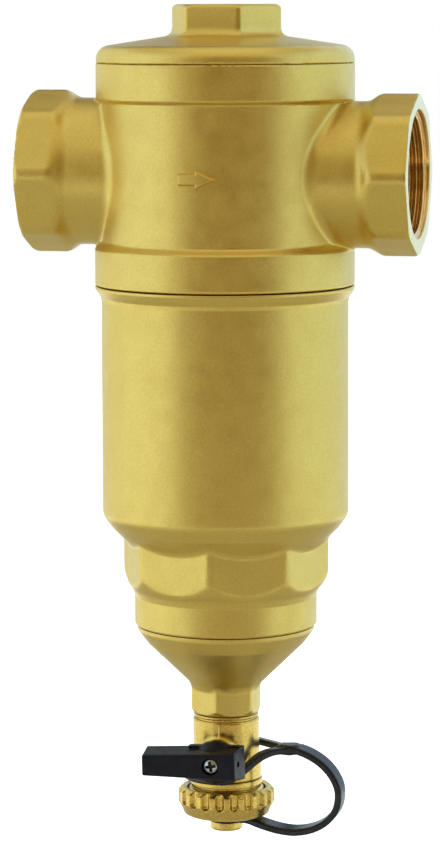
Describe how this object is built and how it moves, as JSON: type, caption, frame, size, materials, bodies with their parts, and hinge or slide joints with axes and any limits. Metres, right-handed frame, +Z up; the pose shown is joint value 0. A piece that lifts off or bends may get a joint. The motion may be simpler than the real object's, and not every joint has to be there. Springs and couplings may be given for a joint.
{
  "type": "dirt separator",
  "caption": "Cast brass in-line dirt separator with octagonal threaded pipe ends, a screwed bowl and cone, a mesh element inside, and a ball drain valve with lever, knurled cap and strap.",
  "frame": {"origin": "where the axis of the pipe ends crosses the upright axis of the body", "axes": "+X along the pipe with the flow, towards the outlet; +Z up; -Y is the front with the flow arrow and the valve's lever"},
  "size_m": [0.13, 0.086, 0.2775],
  "materials": {
    "cast_brass": "sand-blasted, satin",
    "bright_brass": "machined, bright",
    "chromed_brass": "polished",
    "zinc_steel": "zinc plated",
    "black_plastic": "moulded, satin",
    "black_rubber": "smooth, satin",
    "grey_plastic": "moulded",
    "white_plastic": "smooth"
  },
  "bodies": {
    "root": {"body": "cast_brass", "top_plug": "cast_brass", "top_plug_o_ring": "black_rubber", "bowl": "cast_brass", "bowl_o_ring": "black_rubber", "funnel": "cast_brass", "funnel_o_ring": "black_rubber", "element_frame": "grey_plastic", "mesh_outer": "grey_plastic", "mesh_middle": "grey_plastic", "mesh_inner": "grey_plastic", "valve_body": "bright_brass", "valve_o_ring": "black_rubber", "valve_outlet": "bright_brass", "upper_seat": "white_plastic", "lower_seat": "white_plastic", "stem_o_ring": "black_rubber", "cap_strap": "black_rubber"},
    "lever": {"handle": "black_plastic", "handle_screw": "zinc_steel", "valve_stem": "bright_brass", "ball": "chromed_brass"},
    "cap_washer": {"cap_gasket": "black_rubber"},
    "cap_shell": {"cap": "bright_brass"}
  },
  "joints": [
    {"name": "lever_turn", "type": "hinge", "parent": "root", "child": "lever", "pos_m": [0, 0, -0.195], "axis": [0, 1, 0], "range_deg": [0, 90]},
    {"name": "cap_travel", "type": "slide", "parent": "root", "child": "cap_washer", "axis": [0, 0, -1], "range_m": [0, 0.00545], "deforming": ["cap_strap"]},
    {"name": "cap_spin", "type": "hinge", "parent": "cap_washer", "child": "cap_shell", "pos_m": [0, 0, -0.21], "axis": [0, 0, -1], "range_deg": [0, 1080]}
  ],
  "couplings": [
    {"joint": "cap_travel", "follows": "cap_spin", "m_per_rad": 0.00028871}
  ]
}
